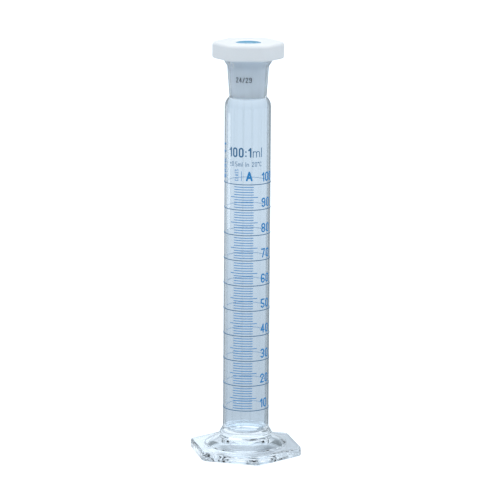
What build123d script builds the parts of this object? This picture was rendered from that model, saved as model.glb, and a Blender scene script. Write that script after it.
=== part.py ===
from build123d import *
import os
from math import cos, degrees, pi, radians, sin

# A 100 ml mixing cylinder: a graduated glass barrel on a hexagonal glass foot,
# closed by a hollow plastic stopper in a tapered ground joint.
# Millimetres, +Z up, origin at the centre of the foot's underside.
# Angles run round the barrel from its front, which faces -Y, towards +X.

# ---- Glass barrel ----
barrel_diameter = 30.5
barrel_wall = 1.5
barrel_base_height = 11.0
barrel_base_round = 6.5
floor_thickness = 2.4
floor_round = 6.0
shoulder_height = 7.2
scale_headroom = 48.5

# ---- Scale ----
capacity_step_ml = 10.0
capacity_steps = 10
marks_per_step = 10
mm3_per_ml = 1000.0

# ---- Ground joint, 24 mm across its wide end and 29 mm long, taper 1 in 10 ----
joint_diameter = 24.0
joint_length = 29.0
joint_taper = 0.1
neck_foot_wall = 1.6
neck_wall = 2.2
rim_overhang = 1.93
rim_height = 5.6
rim_flare_height = 3.0
rim_round = 1.6
mouth_chamfer = 0.4

# ---- Hexagonal foot ----
foot_across_flats = 67.5
foot_edge_thickness = 6.0
foot_corner_round = 5.5
foot_top_round = 1.6
foot_bottom_round = 0.9
foot_turn = -16.8
dome_width = 9.4
dome_lip_height = 0.9
dome_height = 4.6
bead_round = 2.7
bead_overhang = 2.35
bead_neck_height = 3.6
foot_hollow_diameter = 50.0
foot_hollow_depth = 6.5

# ---- Stopper ----
taper_clearance = 0.05
rim_clearance = 1.0
plug_wall = 1.7
plug_overrun = 0.6
plug_tip_round = 0.7
pocket_clearance = 2.45
head_corner_round = 8.0
head_height = 10.8
head_skirt_drop = 4.6
head_top_round = 2.4
head_bottom_round = 1.4
skirt_wall = 3.2
web_thickness = 2.4
dish_slope = 2.0
dish_ledge = 1.1
dish_depth = 0.7

# ---- Size disc in the stopper's dish ----
disc_diameter = 16.4
disc_thickness = 1.5
disc_clearance = 0.05
disc_round = 0.3
disc_rim_width = 1.2
disc_rim_height = 0.35

# ---- Fired enamel print ----
enamel_thickness = 0.08
line_width = 0.45
ring_line_width = 0.5
short_mark_angles = (-33.5, 16.0)
long_mark_angles = (-43.5, 27.0)
numeral_start_angle = 37.5
numeral_height = 6.2
numeral_width = 3.5
numeral_gap = 0.75
numeral_pen = 0.95
numeral_lift = 1.6
capacity_start_angle = -49.5
capacity_lift = 17.9
capacity_height = 6.4
capacity_width = 3.3
capacity_gap = 0.95
capacity_pen = 1.0
unit_pen = 0.5
tolerance_start_angle = -48.2
tolerance_lift = 11.9
tolerance_height = 3.1
tolerance_width = 1.5
tolerance_gap = 0.45
tolerance_pen = 0.32
class_letter_angle = -3.6
class_word_angle = -27.5
class_bar_angle = -15.4
class_lift = 2.4
class_height = 6.4
class_width = 4.4
class_pen = 1.2
class_word_height = 2.6
class_word_width = 1.15
glass_mark_angle = -73.0
glass_mark_lift = 3.0
glass_mark_height = 3.0
glass_mark_width = 2.4
glass_mark_pen = 0.5
joint_mark_angle = -36.0
joint_mark_height = 3.4
joint_mark_width = 1.75
joint_mark_gap = 0.55
joint_mark_pen = 0.42
joint_mark_lift = 10.8

# ---- Places that follow from the sizes above ----
barrel_radius = barrel_diameter / 2
bore_radius = barrel_radius - barrel_wall
floor_z = barrel_base_height + floor_thickness
bore_area = pi * bore_radius**2
# The rounded edge of the floor takes this much from a plain flat-bottomed bore.
floor_round_area = (1 - pi / 4) * floor_round**2
floor_round_centroid = bore_radius - 0.223 * floor_round
floor_round_volume = 2 * pi * floor_round_centroid * floor_round_area
step_height = capacity_step_ml * mm3_per_ml / bore_area
first_ring_z = floor_z + step_height + floor_round_volume / bore_area
top_ring_z = first_ring_z + (capacity_steps - 1) * step_height
shoulder_z = top_ring_z + scale_headroom
neck_z = shoulder_z + shoulder_height
mouth_z = neck_z + joint_length
rim_z = mouth_z - rim_height
flare_z = rim_z - rim_flare_height
joint_radius = joint_diameter / 2
joint_foot_radius = joint_radius - joint_length * joint_taper / 2
neck_foot_radius = joint_foot_radius + neck_foot_wall
neck_top_radius = joint_radius - (mouth_z - flare_z) * joint_taper / 2 + neck_wall
rim_radius = neck_top_radius + rim_overhang
bead_z = barrel_base_height + bead_round
bead_radius = barrel_radius + bead_overhang
dome_radius = bead_radius + dome_width
roof_z = mouth_z + rim_clearance
head_z = roof_z - head_skirt_drop
head_top_z = head_z + head_height
plug_tip_z = neck_z - plug_overrun
dish_floor_z = head_top_z - dish_depth
disc_seat_z = dish_floor_z - disc_thickness - disc_clearance
hollow_roof_z = disc_seat_z - web_thickness
pocket_across_flats = 2 * (rim_radius + pocket_clearance)
head_across_flats = pocket_across_flats + 2 * skirt_wall
disc_radius = disc_diameter / 2
dish_floor_radius = disc_radius + dish_ledge
dish_top_radius = dish_floor_radius + dish_slope


def joint_radius_at(z):
    """Radius of the ground taper at a height, in the glass."""
    return joint_radius - (mouth_z - z) * joint_taper / 2


def neck_radius_at(z):
    """Outer radius of the neck's glass at a height, between the shoulder and the flare."""
    share = (z - neck_z) / (flare_z - neck_z)
    return neck_foot_radius + share * (neck_top_radius - neck_foot_radius)


def turned_solid(section):
    """A half section drawn as radius and height, turned once round the Z axis."""
    return revolve(Plane.XZ * section, Axis.Z)


def upright_cylinder(radius, low_z, high_z):
    """Plain cylinder about the Z axis between two heights."""
    return Pos(0, 0, (low_z + high_z) / 2) * Cylinder(radius, high_z - low_z)


def corner(section, radius, height):
    """The corner of a flat section that lies nearest to a radius and a height."""
    return section.vertices().sort_by_distance(Vector(radius, height, 0))[0]


def shouldered_section(radius, base_z, base_round, neck_radius):
    """Half section of a round-cornered tube that closes in to a neck in one tangent arc."""
    wall = Polyline((0, base_z), (radius, base_z), (radius, shoulder_z))
    shoulder = TangentArc((radius, shoulder_z), (neck_radius, neck_z), tangent=(0, 1))
    lid = Polyline((neck_radius, neck_z), (0, neck_z), (0, base_z))
    section = make_face(wall + shoulder + lid)
    return fillet(corner(section, radius, base_z), base_round)


def make_barrel_blank():
    """The barrel's outer shape, filled solid."""
    return turned_solid(
        shouldered_section(barrel_radius, barrel_base_height, barrel_base_round, neck_foot_radius)
    )


def make_barrel():
    """Glass tube with a closed bottom and a shoulder that carries the joint."""
    bore = turned_solid(shouldered_section(bore_radius, floor_z, floor_round, joint_foot_radius))
    return make_barrel_blank() - bore


def make_neck_socket():
    """Ground glass socket with a thickened rim, on top of the barrel's shoulder."""
    section = make_face(
        Polyline(
            (joint_foot_radius, neck_z),
            (neck_foot_radius, neck_z),
            (neck_top_radius, flare_z),
            (rim_radius, rim_z),
            (rim_radius, mouth_z),
            (joint_radius, mouth_z),
            close=True,
        )
    )
    section = fillet(corner(section, rim_radius, mouth_z), rim_round)
    section = fillet(corner(section, rim_radius, rim_z), rim_round)
    section = fillet(corner(section, neck_top_radius, flare_z), rim_round)
    section = chamfer(corner(section, joint_radius, mouth_z), mouth_chamfer)
    return turned_solid(section)


def make_foot_dome():
    """Low dome of the foot and the bead round the foot of the barrel, turned in one piece."""
    lip_z = foot_edge_thickness + dome_lip_height
    dome_top_z = foot_edge_thickness + dome_height
    bead_top_z = bead_z + bead_neck_height
    section = make_face(
        Polyline(
            (0, foot_edge_thickness / 2),
            (dome_radius, foot_edge_thickness / 2),
            (dome_radius, lip_z),
            (bead_radius - dome_lip_height, dome_top_z),
            (bead_radius, bead_z),
            (barrel_radius, bead_top_z),
            (0, bead_top_z),
            close=True,
        )
    )
    section = fillet(corner(section, dome_radius, lip_z), dome_lip_height)
    section = fillet(corner(section, bead_radius, bead_z), bead_round)
    return turned_solid(section)


def make_hex_foot():
    """Pressed hexagonal foot with a shallow hollow beneath and a seat for the barrel."""
    outline = RegularPolygon(foot_across_flats / 2, 6, major_radius=False, rotation=foot_turn)
    outline = fillet(outline.vertices(), foot_corner_round)
    plate = extrude(outline, foot_edge_thickness)
    plate = fillet(plate.faces().sort_by(Axis.Z)[-1].edges(), foot_top_round)
    plate = fillet(plate.faces().sort_by(Axis.Z)[0].edges(), foot_bottom_round)
    hollow_radius = foot_hollow_diameter / 2
    ball_radius = (hollow_radius**2 + foot_hollow_depth**2) / (2 * foot_hollow_depth)
    hollow = Pos(0, 0, foot_hollow_depth - ball_radius) * Sphere(ball_radius)
    return plate + make_foot_dome() - hollow - make_barrel_blank()


def hexagon_prism(across_flats, corner_round, low_z, high_z):
    """Hexagonal block with rounded corners and two corners on the X axis."""
    outline = RegularPolygon(across_flats / 2, 6, major_radius=False, rotation=0)
    outline = fillet(outline.vertices(), corner_round)
    return Pos(0, 0, low_z) * extrude(outline, high_z - low_z)


def make_stopper_head():
    """Hexagonal grip of the stopper with rounded edges and a pocket over the glass rim."""
    head = hexagon_prism(head_across_flats, head_corner_round, head_z, head_top_z)
    head = fillet(head.faces().sort_by(Axis.Z)[-1].edges(), head_top_round)
    head = fillet(head.faces().sort_by(Axis.Z)[0].edges(), head_bottom_round)
    pocket_round = head_corner_round - skirt_wall
    return head - hexagon_prism(pocket_across_flats, pocket_round, head_z, roof_z)


def make_plug():
    """Tapered plug of the stopper, solid, from its tip up into the head."""
    tip_radius = joint_radius_at(plug_tip_z) - taper_clearance
    root_radius = joint_radius_at(roof_z) - taper_clearance
    section = make_face(
        Polyline(
            (0, plug_tip_z),
            (tip_radius, plug_tip_z),
            (root_radius, roof_z),
            (root_radius, dish_floor_z),
            (0, dish_floor_z),
            close=True,
        )
    )
    return turned_solid(fillet(corner(section, tip_radius, plug_tip_z), plug_tip_round))


def make_plug_hollow():
    """Space inside the plug, open at its tip."""
    tip_radius = joint_radius_at(plug_tip_z) - taper_clearance - plug_wall
    roof_radius = joint_radius_at(hollow_roof_z) - taper_clearance - plug_wall
    section = make_face(
        Polyline(
            (0, plug_tip_z),
            (tip_radius, plug_tip_z),
            (roof_radius, hollow_roof_z),
            (0, hollow_roof_z),
            close=True,
        )
    )
    return turned_solid(fillet(corner(section, roof_radius, hollow_roof_z), plug_wall))


def make_dish():
    """Dished recess in the top of the head and the seat for the size disc."""
    section = make_face(
        Polyline(
            (0, dish_floor_z),
            (dish_floor_radius, dish_floor_z),
            (dish_top_radius, head_top_z),
            (0, head_top_z),
            close=True,
        )
    )
    seat = upright_cylinder(disc_radius + disc_clearance, disc_seat_z, dish_floor_z)
    return turned_solid(section) + seat


def make_stopper():
    """Hollow plastic stopper: hexagonal head, tapered plug, dish for the size disc."""
    return make_stopper_head() + make_plug() - make_plug_hollow() - make_dish()


def make_size_disc():
    """Round coloured disc with a raised edge, which lies in the stopper's dish."""
    low_z = disc_seat_z + disc_clearance
    top_z = low_z + disc_thickness
    section = make_face(
        Polyline(
            (0, low_z),
            (disc_radius, low_z),
            (disc_radius, top_z),
            (disc_radius - disc_rim_width, top_z),
            (disc_radius - disc_rim_width, top_z - disc_rim_height),
            (0, top_z - disc_rim_height),
            close=True,
        )
    )
    return turned_solid(chamfer(corner(section, disc_radius, low_z), disc_round))


# ---- Print: letters drawn with a round pen and wrapped onto the glass ----


def bowl(x, y, radius, start, sweep):
    """Round pen line about a centre."""
    return CenterArc((x, y), radius, start, sweep)


def dot(x, y):
    """Pen mark with almost no length."""
    return Line((x, y), (x + 0.02, y))


def round_end(w, height):
    """Largest round end that still leaves a short straight side in a box of this size."""
    return min(w / 2, 0.49 * height)


def ring_strokes(w, low, high):
    """Upright ring with round ends, between two heights in the box."""
    radius = round_end(w, high - low)
    left, right = w / 2 - radius, w / 2 + radius
    return [
        Line((left, low + radius), (left, high - radius)),
        bowl(w / 2, high - radius, radius, 0, 180),
        Line((right, high - radius), (right, low + radius)),
        bowl(w / 2, low + radius, radius, 180, 180),
    ]


def three_strokes(w, h):
    """Figure three: the right halves of two rings, one above the other, with open ends."""
    radius = round_end(w, h / 2)
    x = w - radius
    return [
        bowl(x, h - radius, radius, 0, 150),
        Line((w, h - radius), (w, h / 2 + radius)),
        bowl(x, h / 2 + radius, radius, -90, 90),
        bowl(x, h / 2 - radius, radius, 0, 90),
        Line((w, h / 2 - radius), (w, radius)),
        bowl(x, radius, radius, -150, 150),
    ]


# Centre lines of each character in a box w wide and h tall, with its foot at y = 0.
# Each entry is a function of w and h, so that round parts stay round at any size.
LETTERS = {
    "0": lambda w, h: ring_strokes(w, 0, h),
    "1": lambda w, h: [Line((w, 0), (w, h)), Line((w, h), (0, h - w))],
    "2": lambda w, h: [
        bowl(w / 2, h - w / 2, w / 2, 0, 180),
        Line((w, h - w / 2), (0, 0)),
        Line((0, 0), (w, 0)),
    ],
    "3": three_strokes,
    "4": lambda w, h: [
        Line((w * 0.75, 0), (w * 0.75, h)),
        Line((w * 0.75, h), (0, h * 0.3)),
        Line((0, h * 0.3), (w, h * 0.3)),
    ],
    "5": lambda w, h: [
        Line((w, h), (0, h)),
        Line((0, h), (0, h * 0.55)),
        Line((0, h * 0.55), (w / 2, w)),
        bowl(w / 2, w / 2, w / 2, -160, 250),
    ],
    "6": lambda w, h: [
        bowl(w / 2, w / 2, w / 2, 0, 360),
        Line((0, w / 2), (0, h - w / 2)),
        bowl(w / 2, h - w / 2, w / 2, 20, 160),
    ],
    "7": lambda w, h: [Line((0, h), (w, h)), Line((w, h), (w * 0.3, 0))],
    "8": lambda w, h: ring_strokes(w, 0, h / 2) + ring_strokes(w, h / 2, h),
    "9": lambda w, h: [
        bowl(w / 2, h - w / 2, w / 2, 0, 360),
        Line((w, h - w / 2), (w, w / 2)),
        bowl(w / 2, w / 2, w / 2, 200, 160),
    ],
    "l": lambda w, h: [Line((0, 0), (0, h))],
    "I": lambda w, h: [Line((0, 0), (0, h))],
    ":": lambda w, h: [dot(0, h * 0.1), dot(0, h * 0.6)],
    ".": lambda w, h: [dot(0, 0)],
    "/": lambda w, h: [Line((0, 0), (w, h))],
    "°": lambda w, h: [bowl(w / 2, h - w / 2, w / 2, 0, 360)],
    "±": lambda w, h: [
        Line((0, h * 0.6), (w, h * 0.6)),
        Line((w / 2, h * 0.6 - w / 2), (w / 2, h * 0.6 + w / 2)),
        Line((0, 0), (w, 0)),
    ],
    "m": lambda w, h: [
        Line((0, 0), (0, h * 0.62)),
        bowl(w / 4, h * 0.62 - w / 4, w / 4, 0, 180),
        Line((w / 2, h * 0.62 - w / 4), (w / 2, 0)),
        bowl(w * 0.75, h * 0.62 - w / 4, w / 4, 0, 180),
        Line((w, h * 0.62 - w / 4), (w, 0)),
    ],
    "n": lambda w, h: [
        Line((0, 0), (0, h * 0.62)),
        bowl(w / 2, h * 0.62 - w / 2, w / 2, 0, 180),
        Line((w, h * 0.62 - w / 2), (w, 0)),
    ],
    "A": lambda w, h: [
        Line((0, 0), (w / 2, h)),
        Line((w / 2, h), (w, 0)),
        Line((w * 0.16, h * 0.3), (w * 0.84, h * 0.3)),
    ],
    "B": lambda w, h: [
        Line((0, 0), (0, h)),
        Line((0, h), (w - h / 4, h)),
        bowl(w - h / 4, h * 0.75, h / 4, -90, 180),
        Line((0, h / 2), (w - h / 4, h / 2)),
        bowl(w - h / 4, h / 4, h / 4, -90, 180),
        Line((0, 0), (w - h / 4, 0)),
    ],
    "C": lambda w, h: [
        bowl(w / 2, h - w / 2, w / 2, 20, 160),
        Line((0, h - w / 2), (0, w / 2)),
        bowl(w / 2, w / 2, w / 2, 180, 160),
    ],
    "L": lambda w, h: [Line((0, h), (0, 0)), Line((0, 0), (w, 0))],
    "R": lambda w, h: [
        Line((0, 0), (0, h)),
        Line((0, h), (w - h / 4, h)),
        bowl(w - h / 4, h * 0.75, h / 4, -90, 180),
        Line((0, h / 2), (w - h / 4, h / 2)),
        Line((w - h / 4, h / 2), (w, 0)),
    ],
    "S": lambda w, h: [
        bowl(w / 2, h - w / 2, w / 2, 20, 160),
        Line((0, h - w / 2), (w, w / 2)),
        bowl(w / 2, w / 2, w / 2, 200, 160),
    ],
}
LETTERS["O"] = LETTERS["0"]

# Widths of the characters that aren't as wide as a digit, as shares of a digit's centre line.
SHARES = {"1": 0.5, "l": 0, "I": 0, ":": 0, ".": 0, "/": 0.8, "°": 0.55, "m": 1.6}


def inked(stroke, pen):
    """Face that a round pen leaves along a straight or round centre line."""
    if stroke.is_closed:
        centre = stroke.arc_center
        return Pos(centre) * (Circle(stroke.radius + pen / 2) - Circle(stroke.radius - pen / 2))
    return SlotArc(stroke, pen)


def letter_face(char, share_width, height, pen):
    """Flat face of one character, with its lower left corner at the origin."""
    strokes = LETTERS[char](share_width, height - pen)
    face = Sketch() + [inked(stroke, pen) for stroke in strokes]
    return Pos(pen / 2, pen / 2) * face


def front_plane(angle, distance, height):
    """Upright plane that faces outwards at an angle round the barrel."""
    turn = radians(angle)
    outward = Vector(sin(turn), -cos(turn), 0)
    return Plane(
        origin=outward * distance + Vector(0, 0, height),
        x_dir=(cos(turn), sin(turn), 0),
        z_dir=(outward.X, outward.Y, 0),
    )


def wrapped(face, angle, height, radius, skin):
    """The part of a thin skin that a flat face covers, seen from straight in front of it."""
    reach = 2.0
    return extrude(front_plane(angle, radius - reach, height) * face, 2 * reach) & skin


def line_length(text, width, gap, pen):
    """Length of a line of text, with the gap after its last character."""
    return sum(SHARES.get(char, 1) * (width - pen) + pen + gap for char in text)


def print_line(text, skin, radius, start_angle, base_z, width, height, gap, pen, upright=True):
    """Characters of a line of text as solids, along the barrel's girth or up its side."""
    solids = []
    place = 0.0
    for char in text:
        if char == " ":
            place += width
            continue
        share_width = SHARES.get(char, 1) * (width - pen)
        full_width = share_width + pen
        face = letter_face(char, share_width, height, pen)
        if upright:
            angle = start_angle + degrees((place + full_width / 2) / radius)
            inked_solid = wrapped(Pos(-full_width / 2, 0) * face, angle, base_z, radius, skin)
        else:
            turned_face = Pos(height / 2, 0) * Rot(0, 0, 90) * face
            inked_solid = wrapped(turned_face, start_angle, base_z + place, radius, skin)
        solids += inked_solid.solids()
        place += full_width + gap
    return solids


def barrel_skin():
    """Thin layer round the barrel that the print is cut from."""
    outer = upright_cylinder(barrel_radius + enamel_thickness, first_ring_z, shoulder_z)
    return outer - upright_cylinder(barrel_radius, first_ring_z, shoulder_z)


def neck_skin():
    """Thin layer round the neck that the joint's size mark is cut from."""
    section = make_face(
        Polyline(
            (neck_foot_radius, neck_z),
            (neck_top_radius, flare_z),
            (neck_top_radius + enamel_thickness, flare_z),
            (neck_foot_radius + enamel_thickness, neck_z),
            close=True,
        )
    )
    return turned_solid(section)


def printed_band(z, width, angles=None):
    """Printed line round the barrel at a height, all the way round or between two angles."""
    section = Pos(barrel_radius + enamel_thickness / 2, z) * Rectangle(enamel_thickness, width)
    if angles is None:
        return turned_solid(section)
    start, end = angles
    band = revolve(Plane.XZ * section, Axis.Z, revolution_arc=end - start)
    return Rot(0, 0, start - 90) * band


def ring_heights():
    """Heights of the rings that mark every tenth millilitre."""
    return [first_ring_z + step * step_height for step in range(capacity_steps)]


def make_scale_rings():
    """Rings that run all the way round at each step of the scale."""
    return [printed_band(z, ring_line_width) for z in ring_heights()]


def make_scale_marks(long):
    """Short marks between the rings, or the longer ones half way between them."""
    half_way = marks_per_step // 2
    angles = long_mark_angles if long else short_mark_angles
    places = [mark for mark in range(1, marks_per_step) if (mark == half_way) == long]
    return [
        printed_band(ring_z + mark * step_height / marks_per_step, line_width, angles)
        for ring_z in ring_heights()[:-1]
        for mark in places
    ]


def make_scale_numerals():
    """Number of millilitres above each ring."""
    skin = barrel_skin()
    solids = []
    for step, ring_z in enumerate(ring_heights(), start=1):
        number = str(round(step * capacity_step_ml))
        solids += print_line(
            number, skin, barrel_radius, numeral_start_angle, ring_z + numeral_lift,
            numeral_width, numeral_height, numeral_gap, numeral_pen,
        )
    return solids


def make_capacity_print():
    """Capacity and the volume between two marks: 100:1 ml."""
    skin = barrel_skin()
    base_z = top_ring_z + capacity_lift
    figures = print_line(
        "100:1", skin, barrel_radius, capacity_start_angle, base_z,
        capacity_width, capacity_height, capacity_gap, capacity_pen,
    )
    figures_length = line_length("100:1", capacity_width, capacity_gap, capacity_pen)
    unit_angle = capacity_start_angle + degrees(figures_length / barrel_radius)
    unit = print_line(
        "ml", skin, barrel_radius, unit_angle, base_z,
        capacity_width, capacity_height, capacity_gap, unit_pen,
    )
    return figures + unit


def make_tolerance_print():
    """Tolerance and reference temperature."""
    return print_line(
        "±0.5ml In 20°C", barrel_skin(), barrel_radius, tolerance_start_angle,
        top_ring_z + tolerance_lift, tolerance_width, tolerance_height, tolerance_gap, tolerance_pen,
    )


def make_class_print():
    """Accuracy class: a bold letter, a thin bar and a small word that runs up the barrel."""
    skin = barrel_skin()
    base_z = top_ring_z + class_lift
    letter = print_line(
        "A", skin, barrel_radius, class_letter_angle, base_z,
        class_width, class_height, capacity_gap, class_pen,
    )
    bar = print_line(
        "I", skin, barrel_radius, class_bar_angle, base_z,
        class_width, class_height, capacity_gap, tolerance_pen,
    )
    word = print_line(
        "CLASS", skin, barrel_radius, class_word_angle, base_z,
        class_word_width, class_word_height, tolerance_gap, tolerance_pen, upright=False,
    )
    return letter + bar + word


def make_glass_mark():
    """Kind of glass, in letters that run up the side of the barrel."""
    return print_line(
        "BORO 3.3", barrel_skin(), barrel_radius, glass_mark_angle, top_ring_z + glass_mark_lift,
        glass_mark_width, glass_mark_height, capacity_gap, glass_mark_pen, upright=False,
    )


def make_joint_mark():
    """Size of the ground joint, on the neck."""
    base_z = neck_z + joint_mark_lift
    radius = neck_radius_at(base_z + joint_mark_height / 2)
    return print_line(
        "24/29", neck_skin(), radius, joint_mark_angle, base_z,
        joint_mark_width, joint_mark_height, joint_mark_gap, joint_mark_pen,
    )


nodes = {
    "barrel": [make_barrel()],
    "neck_socket": [make_neck_socket()],
    "hex_foot": [make_hex_foot()],
    "stopper": [make_stopper()],
    "size_disc": [make_size_disc()],
    "scale_rings": make_scale_rings(),
    "short_marks": make_scale_marks(long=False),
    "long_marks": make_scale_marks(long=True),
    "scale_numerals": make_scale_numerals(),
    "capacity_print": make_capacity_print(),
    "tolerance_print": make_tolerance_print(),
    "class_print": make_class_print(),
    "glass_mark": make_glass_mark(),
    "joint_mark": make_joint_mark(),
}

os.makedirs("parts", exist_ok=True)
for name, shapes in nodes.items():
    solids = [solid for shape in shapes for solid in shape.solids()]
    node = solids[0] if len(solids) == 1 else Compound(children=solids)
    export_step(node, f"parts/{name}.step")
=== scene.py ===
import math

import bpy
import numpy as np
from mathutils import Matrix, Vector


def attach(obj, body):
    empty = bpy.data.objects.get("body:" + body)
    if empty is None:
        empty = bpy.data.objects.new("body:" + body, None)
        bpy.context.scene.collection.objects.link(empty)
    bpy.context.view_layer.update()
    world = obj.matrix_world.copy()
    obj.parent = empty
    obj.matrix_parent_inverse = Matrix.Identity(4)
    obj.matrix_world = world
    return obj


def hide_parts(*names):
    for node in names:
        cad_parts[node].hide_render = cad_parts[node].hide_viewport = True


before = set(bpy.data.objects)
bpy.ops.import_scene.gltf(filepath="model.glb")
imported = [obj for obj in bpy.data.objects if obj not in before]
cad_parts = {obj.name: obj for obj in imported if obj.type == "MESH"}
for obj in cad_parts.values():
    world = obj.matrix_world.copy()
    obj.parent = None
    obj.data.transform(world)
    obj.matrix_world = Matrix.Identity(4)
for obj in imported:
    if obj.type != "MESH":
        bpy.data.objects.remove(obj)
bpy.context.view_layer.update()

# A 100 ml mixing cylinder with a hexagonal glass foot and a hollow plastic stopper.
# Lengths are in millimetres and are scaled to metres when a surface is made.
MM = 0.001

# ---- Sizes of the glass ----
BARREL_RADIUS = 15.25
BORE_RADIUS = 13.75
PRINT_GAP = 0.02
FOOT_APOTHEM = 33.75
FOOT_CORNER_ROUND = 5.5
FOOT_TURN = math.radians(-16.8)
FOOT_EDGE = 6.0
HOLLOW_RADIUS = 25.0
HOLLOW_DEPTH = 6.5
HOLLOW_EDGE_WIDTH = 1.5
DOME_RADIUS = 27.0
DOME_LIP = 0.95
DOME_TOP = (16.7, 10.6)
BEAD = (17.6, 13.7)
BEAD_NECK_Z = 17.3
FLOOR_Z = 13.4
SHOULDER_Z = 235.546
SHOULDER_ROUND = 8.75
BORE_SHOULDER_Z = 235.59
BORE_SHOULDER_ROUND = 8.6
NECK_Z = 238.477
FLARE_Z = 258.877
RIM_Z = 261.877
MOUTH_Z = 267.477
NECK_RADIUS = 12.15
FLARE_RADIUS = 13.77
RIM_RADIUS = 15.7
JOINT_RADIUS = 12.0
JOINT_FOOT_RADIUS = 10.55
JOINT_GAP = 0.015
MOUTH_CHAMFER = 0.3
CONE_MARGIN = 0.6

# ---- Sizes of the stopper ----
HEAD_APOTHEM = 21.35
HEAD_CORNER_ROUND = 8.0
POCKET_APOTHEM = 18.15
POCKET_CORNER_ROUND = 4.8
HEAD_Z = 263.877
HEAD_TOP_Z = 274.677
POCKET_ROOF_Z = 268.477
HOLLOW_ROOF_Z = 270.027
HOLLOW_ROOF_RADIUS = 10.38
HOLLOW_TIP_RADIUS = 8.77
PLUG_RADIUS = 12.0
PLUG_TIP_RADIUS = 10.47
PLUG_TIP_Z = 237.877
DISH_TOP_RADIUS = 11.3
DISH_FLOOR_RADIUS = 9.3
DISH_FLOOR_Z = 273.977
DISC_SEAT_Z = 272.427
SEAT_RADIUS = 8.25
DISC_RADIUS = 8.2
DISC_BASE_Z = 272.477
DISC_TOP_Z = 273.977
DISC_RIM_HEIGHT = 0.35
DISC_RING_HEIGHT = 0.18


def spread_angles(segments, first_corner, crowding=0.6):
    """Angles round the axis, closer together at the six corners than on the flats.

    Within each sixth of a turn, angle = start + 60 deg * (t - crowding * sin(2 pi t) / (2 pi)).
    """
    t = np.arange(segments) / segments * 6
    share = t % 1
    eased = share - crowding * np.sin(2 * math.pi * share) / (2 * math.pi)
    return first_corner + (np.floor(t) + eased) * math.pi / 3


def hexagon_reach(angles, apothem, corner_round, first_corner):
    """Distance from the axis to a hexagon with rounded corners, at each angle.

    On a flat it is apothem / cos(angle from the flat's middle). In a corner it is where the
    ray meets a circle of the corner's radius.
    """
    off_flat = np.abs((angles - first_corner) % (math.pi / 3) - math.pi / 6)
    inner = apothem - corner_round
    flat_limit = np.arctan2(inner * math.tan(math.pi / 6), apothem)
    flat = apothem / np.cos(off_flat)
    centre = inner / math.cos(math.pi / 6)
    off_corner = math.pi / 6 - off_flat
    under_root = np.maximum(corner_round**2 - (centre * np.sin(off_corner)) ** 2, 0.0)
    corner = centre * np.cos(off_corner) + np.sqrt(under_root)
    return np.where(off_flat <= flat_limit, flat, corner)


def rounded_path(corners, step, arc_step):
    """Points along a line of corners, each corner (reach, height, round, hexagon share) rounded.

    A round of radius q at a corner that turns by a starts q * tan(a / 2) before the corner
    and follows a circle. Straight runs are cut into pieces no longer than step.
    """
    rows = [np.array(corners[0], float)]
    for before, here, after in zip(corners, corners[1:], corners[2:]):
        p, q, s = (np.array(c[:2], float) for c in (before, here, after))
        into, out = q - p, s - q
        into /= np.linalg.norm(into)
        out /= np.linalg.norm(out)
        turn = math.atan2(into[0] * out[1] - into[1] * out[0], float(into @ out))
        back = here[2] * math.tan(abs(turn) / 2)
        side = math.copysign(1.0, turn)
        normal = side * np.array([-into[1], into[0]])
        centre = q - into * back + normal * here[2]
        count = max(2, int(math.ceil(here[2] * abs(turn) / arc_step)))
        for k in range(count + 1):
            a = turn * k / count
            spoke = -normal
            turned = np.array([
                spoke[0] * math.cos(a) - spoke[1] * math.sin(a),
                spoke[0] * math.sin(a) + spoke[1] * math.cos(a),
            ])
            point = centre + turned * here[2]
            rows.append(np.array([point[0], point[1], here[2], here[3]]))
    rows.append(np.array(corners[-1], float))
    dense = [rows[0]]
    for a, b in zip(rows, rows[1:]):
        length = math.hypot(b[0] - a[0], b[1] - a[1])
        if length < 1e-6:
            continue
        pieces = max(1, int(math.ceil(length / step)))
        for k in range(1, pieces + 1):
            dense.append(a + (b - a) * k / pieces)
    return np.array(dense)


def row_reach(path, angles, apothem, corner_round, first_corner):
    """Reach of every row at every angle: a circle, a hexagon, or a share between the two."""
    rows = []
    for reach, _, _, share in path:
        circle = np.full(len(angles), reach)
        if share <= 0:
            rows.append(circle)
            continue
        inset_round = max(corner_round + reach - apothem, 0.5)
        hexagon = hexagon_reach(angles, reach, inset_round, first_corner)
        eased = share * share * (3 - 2 * share)
        rows.append(circle + (hexagon - circle) * eased)
    return np.array(rows)


def closed_skin(name, reach, height, angles, materials, zone=None):
    """A closed skin made of rings round the Z axis.

    Point (i, j) lies at reach[i, j] from the axis, at angle j and height[i]. The first and
    last rows are single points on the axis. zone gives the material of each row of faces.
    """
    count = len(angles)
    inner = reach[1:-1]
    rings = len(inner)
    points = np.stack(
        [inner * np.cos(angles), inner * np.sin(angles), np.repeat(height[1:-1, None], count, 1)],
        axis=-1,
    ).reshape(-1, 3)
    poles = np.array([[0, 0, height[0]], [0, 0, height[-1]]])
    vertices = np.concatenate([points, poles]) * MM
    here = np.arange(count)
    along = (here + 1) % count
    start = (np.arange(rings - 1) * count)[:, None]
    quads = np.stack(
        [start + here, start + along, start + count + along, start + count + here], axis=-1
    ).reshape(-1, 4)
    first, last = len(points), len(points) + 1
    top = (rings - 1) * count
    faces = quads.tolist()
    faces += [[first, int(b), int(a)] for a, b in zip(here, along)]
    faces += [[top + int(a), top + int(b), last] for a, b in zip(here, along)]
    mesh = bpy.data.meshes.new(name)
    mesh.from_pydata(vertices.tolist(), [], faces)
    mesh.polygons.foreach_set("use_smooth", np.ones(len(faces), bool))
    for material in materials:
        mesh.materials.append(material)
    if zone is not None:
        per_quad = np.repeat(np.asarray(zone)[1 : rings], count)
        caps = np.zeros(2 * count, int)
        mesh.polygons.foreach_set("material_index", np.concatenate([per_quad, caps]).astype(np.int32))
    mesh.update()
    piece = bpy.data.objects.new(name, mesh)
    bpy.context.scene.collection.objects.link(piece)
    return piece


# ---- Materials ----


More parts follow.
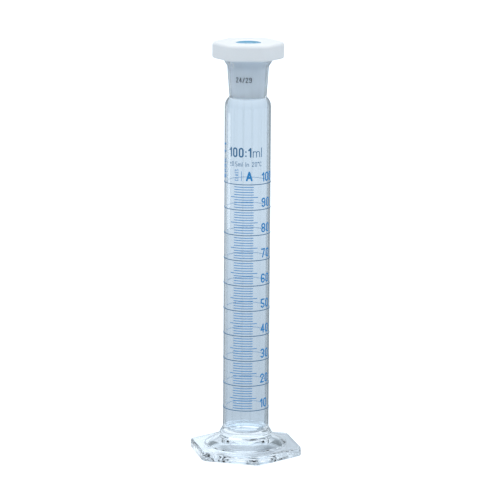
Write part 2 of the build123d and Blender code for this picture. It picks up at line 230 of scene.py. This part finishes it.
def plain_material(name):
    """A material with one Principled shader, and its node tree and shader."""
    material = bpy.data.materials.new(name)
    material.use_nodes = True
    tree = material.node_tree
    return material, tree, tree.nodes["Principled BSDF"]


def noise(tree, scale, detail=3.0, stretch=(1, 1, 1)):
    """Noise over the piece's own coordinates, stretched along its axes."""
    where = tree.nodes.new("ShaderNodeTexCoord")
    mapping = tree.nodes.new("ShaderNodeMapping")
    mapping.inputs["Scale"].default_value = stretch
    texture = tree.nodes.new("ShaderNodeTexNoise")
    texture.inputs["Scale"].default_value = scale
    texture.inputs["Detail"].default_value = detail
    tree.links.new(where.outputs["Object"], mapping.inputs["Vector"])
    tree.links.new(mapping.outputs["Vector"], texture.inputs["Vector"])
    return texture.outputs["Fac"]


def bumped(tree, shader, height, strength, distance):
    """Runs a height through a bump into the shader's normal."""
    bump = tree.nodes.new("ShaderNodeBump")
    bump.inputs["Strength"].default_value = strength
    bump.inputs["Distance"].default_value = distance
    tree.links.new(height, bump.inputs["Height"])
    tree.links.new(bump.outputs["Normal"], shader.inputs["Normal"])


def mapped(tree, value, start, end, low, high, shape="LINEAR"):
    """Carries a value from one range to another."""
    node = tree.nodes.new("ShaderNodeMapRange")
    node.interpolation_type = shape
    node.inputs["From Min"].default_value = start
    node.inputs["From Max"].default_value = end
    node.inputs["To Min"].default_value = low
    node.inputs["To Max"].default_value = high
    tree.links.new(value, node.inputs["Value"])
    return node.outputs["Result"]


def ranged(tree, grain, low, high):
    """Carries the middle of a noise to a range."""
    return mapped(tree, grain, 0.3, 0.7, low, high)


def mixed_colour(tree, share, first, second):
    """Mix of two colours, or of an output of another node and a colour."""
    node = tree.nodes.new("ShaderNodeMix")
    node.data_type = "RGBA"
    tree.links.new(share, node.inputs[0])
    for place, colour in ((6, first), (7, second)):
        if isinstance(colour, tuple):
            node.inputs[place].default_value = (*colour, 1)
        else:
            tree.links.new(colour, node.inputs[place])
    return node.outputs[2]


def clear_glass():
    """Polished borosilicate glass with the faint lengthwise unevenness of drawn tube."""
    material, tree, shader = plain_material("polished_glass")
    shader.inputs["Base Color"].default_value = (0.89, 0.945, 0.99, 1)
    shader.inputs["Roughness"].default_value = 0.0
    shader.inputs["IOR"].default_value = 1.474
    shader.inputs["Transmission Weight"].default_value = 1.0
    streaks = noise(tree, 60, 1.0, (1, 1, 0.04))
    bumped(tree, shader, streaks, 0.1, 0.0003)
    return material


def ground_glass():
    """Glass ground to a fine matt cone, with grain that varies a little."""
    material, tree, shader = plain_material("ground_glass_cone")
    shader.inputs["Base Color"].default_value = (0.97, 0.985, 1.0, 1)
    shader.inputs["IOR"].default_value = 1.474
    shader.inputs["Transmission Weight"].default_value = 0.5
    patches = noise(tree, 90, 4.0)
    tree.links.new(ranged(tree, patches, 0.6, 0.8), shader.inputs["Roughness"])
    return material


def stopper_plastic():
    """White waxy plastic of the stopper, slightly see-through at its thin edges."""
    material, tree, shader = plain_material("white_waxy_plastic")
    shader.inputs["Base Color"].default_value = (0.88, 0.905, 0.93, 1)
    shader.inputs["IOR"].default_value = 1.5
    shader.inputs["Subsurface Weight"].default_value = 0.4
    shader.inputs["Subsurface Radius"].default_value = (1.0, 0.95, 0.9)
    shader.inputs["Subsurface Scale"].default_value = 0.0008
    cloudy = noise(tree, 220, 4.0)
    tree.links.new(ranged(tree, cloudy, 0.30, 0.42), shader.inputs["Roughness"])
    bumped(tree, shader, cloudy, 0.12, 0.0002)
    return material


def disc_plastic():
    """Blue glossy plastic of the size disc."""
    material, tree, shader = plain_material("blue_disc_plastic")
    shader.inputs["Base Color"].default_value = (0.09, 0.36, 0.57, 1)
    shader.inputs["IOR"].default_value = 1.5
    grain = noise(tree, 400, 3.0)
    tree.links.new(ranged(tree, grain, 0.25, 0.38), shader.inputs["Roughness"])
    bumped(tree, shader, grain, 0.1, 0.0002)
    return material


def fired_enamel(name, colour, painted_pale_underside):
    """Fired enamel ink, with the slight mottle of a screen print.

    The side that lies on the glass is painted paler than the outer side: painted light that stands
    in for the faint look of the far marks seen through the glass. A face's side comes from the dot
    product of its normal and its place off the axis.
    """
    material, tree, shader = plain_material(name)
    where = tree.nodes.new("ShaderNodeTexCoord")
    facing = tree.nodes.new("ShaderNodeVectorMath")
    facing.operation = "DOT_PRODUCT"
    level = tree.nodes.new("ShaderNodeVectorMath")
    level.operation = "MULTIPLY"
    level.inputs[1].default_value = (1, 1, 0)
    outward = tree.nodes.new("ShaderNodeVectorMath")
    outward.operation = "NORMALIZE"
    tree.links.new(where.outputs["Object"], level.inputs[0])
    tree.links.new(level.outputs["Vector"], outward.inputs[0])
    tree.links.new(where.outputs["Normal"], facing.inputs[0])
    tree.links.new(outward.outputs["Vector"], facing.inputs[1])
    # Painted paleness on the side that lies on the glass, standing in for how far marks look through
    # the glass.
    share = mapped(tree, facing.outputs["Value"], -0.5, -0.3, 0.0, 1.0)
    tree.links.new(mixed_colour(tree, share, painted_pale_underside, colour), shader.inputs["Base Color"])
    shader.inputs["IOR"].default_value = 1.5
    mottle = noise(tree, 900, 3.0)
    tree.links.new(ranged(tree, mottle, 0.35, 0.55), shader.inputs["Roughness"])
    return material


# ---- Glass body ----


def glass_path():
    """The glass's half section, from under the foot round to the floor of the bore."""
    skin = PRINT_GAP
    ball = (HOLLOW_RADIUS**2 + HOLLOW_DEPTH**2) / (2 * HOLLOW_DEPTH)
    reach = np.linspace(0, HOLLOW_RADIUS - HOLLOW_EDGE_WIDTH, 12)
    sag = HOLLOW_DEPTH - ball + np.sqrt(ball**2 - reach**2)
    under = [(r, z, 0.0, 0.0) for r, z in zip(reach[:-1], sag[:-1])]
    corners = [
        (reach[-1], sag[-1], 0.0, 0.0),
        (HOLLOW_RADIUS, 0.0, HOLLOW_EDGE_WIDTH, 0.0),
        (FOOT_APOTHEM, 0.0, 0.9, 1.0),
        (FOOT_APOTHEM, FOOT_EDGE, 1.6, 1.0),
        (DOME_RADIUS, FOOT_EDGE, 0.5, 0.0),
        (DOME_RADIUS, FOOT_EDGE + DOME_LIP, 0.42, 0.0),
        (*DOME_TOP, 0.8, 0.0),
        (*BEAD, 2.2, 0.0),
        (BARREL_RADIUS - skin, BEAD_NECK_Z, 1.2, 0.0),
        (BARREL_RADIUS - skin, SHOULDER_Z, SHOULDER_ROUND, 0.0),
        (NECK_RADIUS - skin, NECK_Z, 1.0, 0.0),
        (FLARE_RADIUS - skin, FLARE_Z, 2.0, 0.0),
        (RIM_RADIUS, RIM_Z, 1.5, 0.0),
        (RIM_RADIUS, MOUTH_Z, 1.6, 0.0),
        (JOINT_RADIUS + MOUTH_CHAMFER, MOUTH_Z, 0.2, 0.0),
        (JOINT_RADIUS - JOINT_GAP, MOUTH_Z - MOUTH_CHAMFER, 0.2, 0.0),
        (JOINT_FOOT_RADIUS, NECK_Z, 1.0, 0.0),
        (BORE_RADIUS, BORE_SHOULDER_Z, BORE_SHOULDER_ROUND, 0.0),
        (BORE_RADIUS, FLOOR_Z, 6.0, 0.0),
        (0.0, FLOOR_Z, 0.0, 0.0),
    ]
    return np.concatenate([np.array(under), rounded_path(corners, 6.0, 0.15)])


def make_glass():
    """Foot, barrel and neck as one piece of glass, with the ground cone as its own zone."""
    angles = spread_angles(240, FOOT_TURN)
    path = glass_path()
    reach = row_reach(path, angles, FOOT_APOTHEM, FOOT_CORNER_ROUND, FOOT_TURN)
    top = int(np.argmax(path[:, 1]))
    inside = np.arange(len(path)) > top
    cone = inside & (path[:, 1] > NECK_Z + CONE_MARGIN) & (path[:, 0] < JOINT_RADIUS + 0.05)
    piece = closed_skin(
        "glass_body", reach, path[:, 1], angles, [clear_glass(), ground_glass()], cone.astype(int)
    )
    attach(piece, "glass")
    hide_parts("barrel", "neck_socket", "hex_foot")
    return piece


# ---- Stopper ----


def stopper_path():
    """The stopper's half section, from the roof of its hollow round to the disc's seat."""
    corners = [
        (0.0, HOLLOW_ROOF_Z, 0.0, 0.0),
        (HOLLOW_ROOF_RADIUS, HOLLOW_ROOF_Z, 1.7, 0.0),
        (HOLLOW_TIP_RADIUS, PLUG_TIP_Z, 0.15, 0.0),
        (PLUG_TIP_RADIUS, PLUG_TIP_Z, 0.7, 0.0),
        (PLUG_RADIUS, POCKET_ROOF_Z, 0.3, 0.0),
        (POCKET_APOTHEM, POCKET_ROOF_Z, 0.8, 1.0),
        (POCKET_APOTHEM, HEAD_Z, 0.5, 1.0),
        (HEAD_APOTHEM, HEAD_Z, 1.4, 1.0),
        (HEAD_APOTHEM, HEAD_TOP_Z, 2.4, 1.0),
        (DISH_TOP_RADIUS, HEAD_TOP_Z, 0.6, 0.0),
        (DISH_FLOOR_RADIUS, DISH_FLOOR_Z, 0.4, 0.0),
        (SEAT_RADIUS, DISH_FLOOR_Z, 0.1, 0.0),
        (SEAT_RADIUS, DISC_SEAT_Z, 0.1, 0.0),
        (0.0, DISC_SEAT_Z, 0.0, 0.0),
    ]
    return rounded_path(corners, 1.2, 0.2)


def make_stopper():
    """Hexagonal head, pocket over the glass rim and hollow tapered plug in one skin."""
    angles = spread_angles(240, 0.0, 0.45)
    path = stopper_path()
    outer = row_reach(path, angles, HEAD_APOTHEM, HEAD_CORNER_ROUND, 0.0)
    piece = closed_skin("stopper_skin", outer, path[:, 1], angles, [stopper_plastic()])
    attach(piece, "stopper")
    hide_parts("stopper")
    return piece


def make_disc():
    """Round disc with a raised edge and a raised ring part way in."""
    low = DISC_TOP_Z - DISC_RIM_HEIGHT
    ring_top = low + DISC_RING_HEIGHT
    corners = [
        (0.0, DISC_BASE_Z, 0.0, 0.0),
        (DISC_RADIUS, DISC_BASE_Z, 0.3, 0.0),
        (DISC_RADIUS, DISC_TOP_Z, 0.3, 0.0),
        (DISC_RADIUS - 1.2, DISC_TOP_Z, 0.25, 0.0),
        (DISC_RADIUS - 1.5, low, 0.2, 0.0),
        (5.4, low, 0.1, 0.0),
        (5.2, ring_top, 0.1, 0.0),
        (4.6, ring_top, 0.1, 0.0),
        (4.4, low, 0.1, 0.0),
        (0.0, low, 0.0, 0.0),
    ]
    path = rounded_path(corners, 0.8, 0.08)
    angles = spread_angles(120, 0.0, 0.0)
    reach = np.repeat(path[:, :1], len(angles), 1)
    piece = closed_skin("size_disc_skin", reach, path[:, 1], angles, [disc_plastic()])
    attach(piece, "disc")
    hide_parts("size_disc")
    return piece


def finish_print():
    """Gives the printed marks their fired enamel."""
    # The second colour of each enamel is the painted paler side that lies on the glass.
    blue = fired_enamel("blue_fired_enamel", (0.015, 0.26, 0.62), (0.6, 0.78, 0.95))
    slate = fired_enamel("slate_blue_fired_enamel", (0.04, 0.17, 0.34), (0.65, 0.75, 0.86))
    black = fired_enamel("black_fired_enamel", (0.02, 0.03, 0.05), (0.1, 0.12, 0.15))
    coats = {
        "scale_rings": slate,
        "short_marks": blue,
        "long_marks": blue,
        "scale_numerals": blue,
        "capacity_print": slate,
        "tolerance_print": slate,
        "class_print": blue,
        "glass_mark": blue,
        "joint_mark": black,
    }
    for name, coat in coats.items():
        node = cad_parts[name]
        for slot in node.material_slots:
            slot.material = coat


# ---- Studio ----

# Floor glow that only the glass and other non-camera rays see: a painted shadow under the foot, a
# painted ring of light round it, and dim floor beyond.
GLOW_UNDER_PAINTED_SHADOW = 0.42
GLOW_RING_PAINTED_LIGHT = 0.98
GLOW_NEAR = 0.33
GLOW_FAR = 0.48
GLOW_SEEN = 1.0
# Centre of the painted ring of light, off to the left and the back.
PAINTED_LIGHT_RING_CENTRE = (-0.022, 0.012, 0)
SKY_LOW = 0.34
SKY_HIGH = 1.42
SKY_BACK = 0.2
SKY_SEEN = 1.3
STRIP_START = 0.044
STRIP_REACH = 0.11
STRIP_HEIGHT = 0.235
WINDOW_DISTANCE = 0.12
CAMERA_DROP = math.radians(11.44)
CAMERA_LEAN = math.radians(0.425)
CAMERA_DISTANCE = 2.0


def stepped(tree, value, start, end, low, high):
    """Smooth step of a value between two places."""
    return mapped(tree, value, start, end, low, high, "SMOOTHSTEP")


def added(tree, first, second):
    """Sum of two values."""
    total = tree.nodes.new("ShaderNodeMath")
    total.operation = "ADD"
    tree.links.new(first, total.inputs[0])
    tree.links.new(second, total.inputs[1])
    return total.outputs["Value"]


def distance_from(tree, place, centre):
    """Distance of a place from a fixed point."""
    span = tree.nodes.new("ShaderNodeVectorMath")
    span.operation = "DISTANCE"
    span.inputs[1].default_value = centre
    tree.links.new(place, span.inputs[0])
    return span.outputs["Value"]


def unless_seen(tree, unseen, seen_value):
    """A value for all rays but the camera's, which get a fixed one."""
    path = tree.nodes.new("ShaderNodeLightPath")
    node = tree.nodes.new("ShaderNodeMix")
    tree.links.new(path.outputs["Is Camera Ray"], node.inputs[0])
    tree.links.new(unseen, node.inputs[2])
    node.inputs[3].default_value = seen_value
    return node.outputs[0]


def stage_sheet(name, points, material):
    """A staged sheet through a grid of points, where points[i, j] is a place in metres."""
    rows, columns = points.shape[:2]
    index = np.arange(rows * columns).reshape(rows, columns)
    quads = np.stack([index[:-1, :-1], index[1:, :-1], index[1:, 1:], index[:-1, 1:]], -1)
    mesh = bpy.data.meshes.new(name)
    mesh.from_pydata(points.reshape(-1, 3).tolist(), [], quads.reshape(-1, 4).tolist())
    mesh.materials.append(material)
    sheet = bpy.data.objects.new(name, mesh)
    bpy.context.scene.collection.objects.link(sheet)
    return sheet


def light_card(name, points, colour, brightness):
    """A glowing card that the camera and matt surfaces don't see."""
    material, _, shader = plain_material(name + "_card")
    shader.inputs["Base Color"].default_value = (0, 0, 0, 1)
    shader.inputs["Specular IOR Level"].default_value = 0.0
    shader.inputs["Emission Color"].default_value = (*colour, 1)
    shader.inputs["Emission Strength"].default_value = brightness
    card = stage_sheet(name, points, material)
    card.visible_camera = False
    card.visible_diffuse = False
    card.visible_shadow = False
    return card


def make_floor():
    """Plain pale floor, lit from within like a light table, glowing evenly as the camera sees it.

    As the glass sees it, the glow is painted light and shade: a painted pool of light in a ring
    round a painted shadow under the foot, a little to the left and the back, and beyond the ring
    the floor is dim.
    """
    side = np.linspace(-6.0, 6.0, 9)
    x, y = np.meshgrid(side, side, indexing="ij")
    points = np.stack([x, y, np.full_like(x, -0.00005)], -1)
    material, tree, shader = plain_material("pale_floor")
    shader.inputs["Base Color"].default_value = (0.28, 0.30, 0.32, 1)
    shader.inputs["Roughness"].default_value = 0.9
    shader.inputs["Specular IOR Level"].default_value = 0.0
    shader.inputs["Emission Color"].default_value = (0.90, 0.97, 1.03, 1)
    where = tree.nodes.new("ShaderNodeTexCoord")
    away = distance_from(tree, where.outputs["Object"], (0, 0, 0))
    ring = distance_from(tree, where.outputs["Object"], PAINTED_LIGHT_RING_CENTRE)
    # Painted shadow under the foot, a painted ring of light round it off to the left and back, and
    # dimmer floor beyond.
    glows = [
        stepped(tree, away, 0.014, 0.024, GLOW_UNDER_PAINTED_SHADOW, GLOW_RING_PAINTED_LIGHT),
        stepped(tree, ring, 0.031, 0.050, 0.0, GLOW_NEAR - GLOW_RING_PAINTED_LIGHT),
        stepped(tree, away, 0.1, 1.0, 0.0, GLOW_FAR - GLOW_NEAR),
    ]
    unseen = glows[0]
    for glow in glows[1:]:
        unseen = added(tree, unseen, glow)
    chosen = unless_seen(tree, unseen, GLOW_SEEN)
    tree.links.new(chosen, shader.inputs["Emission Strength"])
    stage_sheet("studio_floor", points, material)


def make_strip(name, start, end, brightness):
    """Dim card that only glass and gloss can see: it lies on the floor, then stands upright.

    A line goes out along the floor from near the foot and up at the end, and is carried
    round the object through the card's angle.
    """
    turn = np.radians(np.linspace(start, end, 9))
    out = np.array([STRIP_START, STRIP_REACH, STRIP_REACH])
    up = np.array([0.0005, 0.0005, STRIP_HEIGHT])
    points = np.stack(
        [np.outer(np.sin(turn), out), np.outer(np.cos(turn), out), np.outer(np.ones(9), up)], -1
    )
    light_card(name, points, (0.80, 0.92, 1.0), brightness)


def make_strips():
    """Dim cards that draw darker lines along the edges of the glass."""
    make_strip("strip_right", 21.5, 48, 0.32)
    make_strip("strip_left", -42, -27, 0.30)
    for k in range(1, 7):
        middle = 22.5 + 45 * k
        make_strip("strip_" + str(k), middle - 4, middle + 4, 0.22)


def make_window(name, turn, half_width, low, high, brightness):
    """Bright upright card that outer surfaces reflect as a line of light.

    It is part of an upright cylinder about the object, between two heights, and reaches
    half_width degrees either way from its turn, which runs from the back towards +X.
    """
    angles = np.radians(turn + np.linspace(-half_width, half_width, 5))
    rise = np.linspace(low, high, 5)
    around = np.stack([np.sin(angles), np.cos(angles)], -1) * WINDOW_DISTANCE
    points = np.concatenate(
        [np.repeat(around[:, None], 5, 1), np.broadcast_to(rise[None, :, None], (5, 5, 1))], -1
    )
    window = light_card(name, points, (0.96, 0.99, 1.0), brightness)
    window.visible_transmission = False


def light_world():
    """Soft white surroundings, brightest overhead and dimmer low down on the near side."""
    world = bpy.data.worlds.new("studio_surroundings")
    bpy.context.scene.world = world
    world.use_nodes = True
    tree = world.node_tree
    background = tree.nodes["Background"]
    where = tree.nodes.new("ShaderNodeTexCoord")
    parts = tree.nodes.new("ShaderNodeSeparateXYZ")
    tree.links.new(where.outputs["Generated"], parts.inputs["Vector"])
    up = mapped(tree, parts.outputs["Z"], 0.0, 0.9, SKY_LOW, SKY_HIGH)
    back = mapped(tree, parts.outputs["Y"], 0.2, 0.9, 0.0, SKY_BACK)
    strength = unless_seen(tree, added(tree, up, back), SKY_SEEN)
    tree.links.new(strength, background.inputs["Strength"])
    tint = mixed_colour(tree, parts.outputs["Z"], (0.80, 0.92, 1.03), (1.0, 0.995, 0.99))
    seen = tree.nodes.new("ShaderNodeLightPath")
    colour = mixed_colour(tree, seen.outputs["Is Camera Ray"], tint, (1.0, 1.0, 1.0))
    tree.links.new(colour, background.inputs["Color"])


def make_camera():
    """Long lens a little above the mouth's height, looking slightly down."""
    target = Vector((0.00205, 0.0, 0.1366))
    look = Vector((0.0, math.cos(CAMERA_DROP), -math.sin(CAMERA_DROP)))
    right = Vector((1.0, 0.0, 0.0))
    up = right.cross(look)
    right_leant = right * math.cos(CAMERA_LEAN) + up * math.sin(CAMERA_LEAN)
    up_leant = up * math.cos(CAMERA_LEAN) - right * math.sin(CAMERA_LEAN)
    lens = bpy.data.cameras.new("long_lens")
    lens.sensor_width = 36.0
    lens.lens = 219.05
    lens.clip_start = 0.05
    lens.clip_end = 60.0
    camera = bpy.data.objects.new("camera", lens)
    turn = Matrix((right_leant, up_leant, -look)).transposed()
    camera.matrix_world = Matrix.Translation(target - look * CAMERA_DISTANCE) @ turn.to_4x4()
    bpy.context.scene.collection.objects.link(camera)
    bpy.context.scene.camera = camera


def set_light_paths():
    """Enough bounces for light to pass every wall of the glass, and plain output colours."""
    scene = bpy.context.scene
    scene.cycles.max_bounces = 160
    scene.cycles.transmission_bounces = 160
    scene.cycles.diffuse_bounces = 12
    scene.cycles.glossy_bounces = 12
    scene.cycles.blur_glossy = 0.0
    scene.cycles.transparent_max_bounces = 16
    scene.view_settings.view_transform = "Standard"


make_glass()
make_stopper()
make_disc()
finish_print()
make_floor()
make_strips()
make_window("window_left", -80, 10, 0.13, 0.212, 3.4)
light_world()
make_camera()
set_light_paths()
